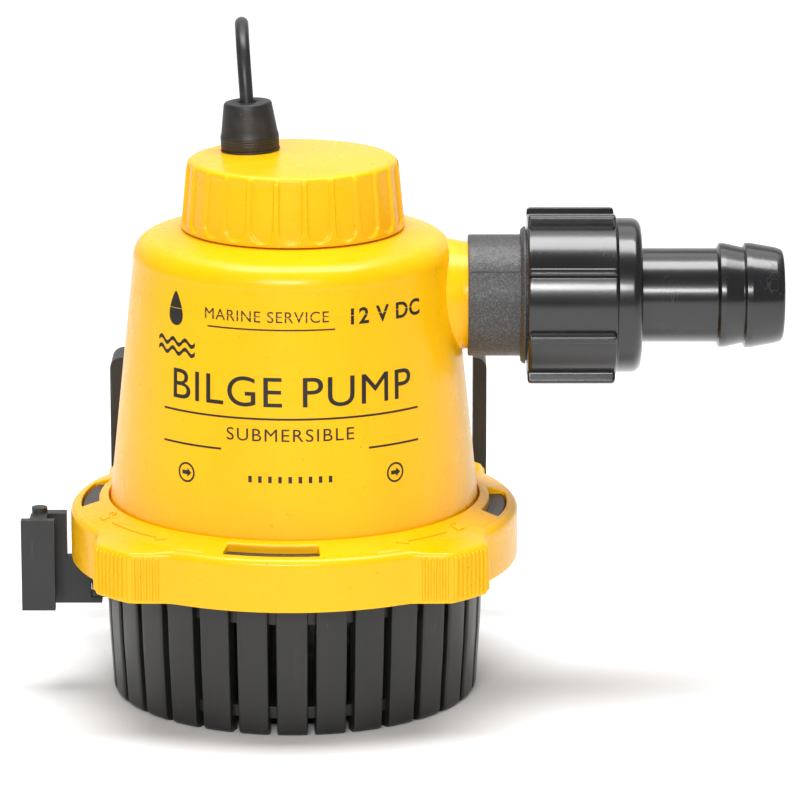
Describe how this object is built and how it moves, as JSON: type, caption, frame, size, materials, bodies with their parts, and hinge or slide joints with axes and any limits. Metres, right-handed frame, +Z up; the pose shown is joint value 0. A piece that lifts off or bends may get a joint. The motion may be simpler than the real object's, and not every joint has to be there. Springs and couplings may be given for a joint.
{
  "type": "bilge pump",
  "caption": "Submersible centrifugal bilge pump with slotted strainer base, twist-lock ring, tapered housing, fluted motor cap and a side outlet with union nut and hose tail.",
  "frame": {"origin": "on the pump's vertical axis, on the flat pad under the base that rests on the floor", "axes": "+Z up along the motor shaft, +X along the outlet towards the hose end, +Y towards the rear bracket"},
  "size_m": [0.1555, 0.1605, 0.1355],
  "materials": {
    "base_black": "satin",
    "pump_yellow": "gloss",
    "ring_yellow": "gloss",
    "union_black": "gloss",
    "valve_black": "textured",
    "bracket_black": "satin",
    "gland_rubber": "matte",
    "seal_rubber": "matte",
    "cord_black": "satin",
    "tie_black": "satin",
    "tinned_copper": "satin",
    "motor_steel": "satin",
    "shaft_steel": "polished",
    "sintered_bronze": "matte",
    "core_steel": "matte",
    "winding_copper": "satin",
    "magnet_ferrite": "matte",
    "brush_carbon": "matte",
    "spring_steel": "satin",
    "impeller_white": "satin",
    "inner_black": "satin"
  },
  "bodies": {
    "pump_body": {"strainer_base": "base_black", "switch_rail": "bracket_black", "rear_bracket": "bracket_black", "pump_housing": "pump_yellow", "base_seal": "seal_rubber", "intake_plate": "inner_black", "valve_body": "valve_black", "valve_pin": "shaft_steel"},
    "lock_ring": {"lock_ring": "ring_yellow"},
    "cartridge": {"motor_cap": "pump_yellow", "cap_seal": "seal_rubber", "cable_gland": "gland_rubber", "cartridge_shell": "inner_black", "shaft_seal": "seal_rubber", "motor_can": "motor_steel", "lower_bearing": "sintered_bronze", "upper_bearing": "sintered_bronze", "end_plate": "inner_black", "magnets": "magnet_ferrite", "brushes": "brush_carbon", "brush_springs": "spring_steel", "motor_leads": "cord_black", "power_cord": "cord_black", "cord_coil": "cord_black", "coil_tie": "tie_black", "cord_tail": "cord_black", "lead_ends": "tinned_copper"},
    "rotor": {"motor_shaft": "shaft_steel", "armature_core": "core_steel", "armature_windings": "winding_copper", "commutator": "winding_copper", "impeller": "impeller_white"},
    "valve_flap": {"valve_flap": "seal_rubber"},
    "hose_tail": {"hose_tail": "union_black", "union_gasket": "seal_rubber"},
    "union_nut": {"union_nut": "union_black"}
  },
  "joints": [
    {"name": "lock_ring_turn", "type": "hinge", "parent": "pump_body", "child": "lock_ring", "pos_m": [0, 0, 0.0345], "axis": [0, 0, 1], "range_deg": [0, 25]},
    {"name": "cartridge_turn", "type": "hinge", "parent": "pump_body", "child": "cartridge", "pos_m": [0, 0, 0.0963], "axis": [0, 0, 1], "range_deg": [0, 20]},
    {"name": "rotor_spin", "type": "hinge", "parent": "cartridge", "child": "rotor", "pos_m": [0, 0, 0.065], "axis": [0, 0, 1], "continuous": true},
    {"name": "flap_swing", "type": "hinge", "parent": "pump_body", "child": "valve_flap", "pos_m": [0.047, 0, 0.091], "axis": [0, -1, 0], "range_deg": [0, 48]},
    {"name": "tail_slide", "type": "slide", "parent": "pump_body", "child": "hose_tail", "axis": [1, 0, 0], "range_m": [0, 0.0051]},
    {"name": "nut_turn", "type": "hinge", "parent": "hose_tail", "child": "union_nut", "pos_m": [0.056, 0, 0.0818], "axis": [1, 0, 0], "range_deg": [0, 720]}
  ],
  "couplings": [
    {"joint": "tail_slide", "follows": "nut_turn", "m_per_rad": 0.00039789}
  ]
}
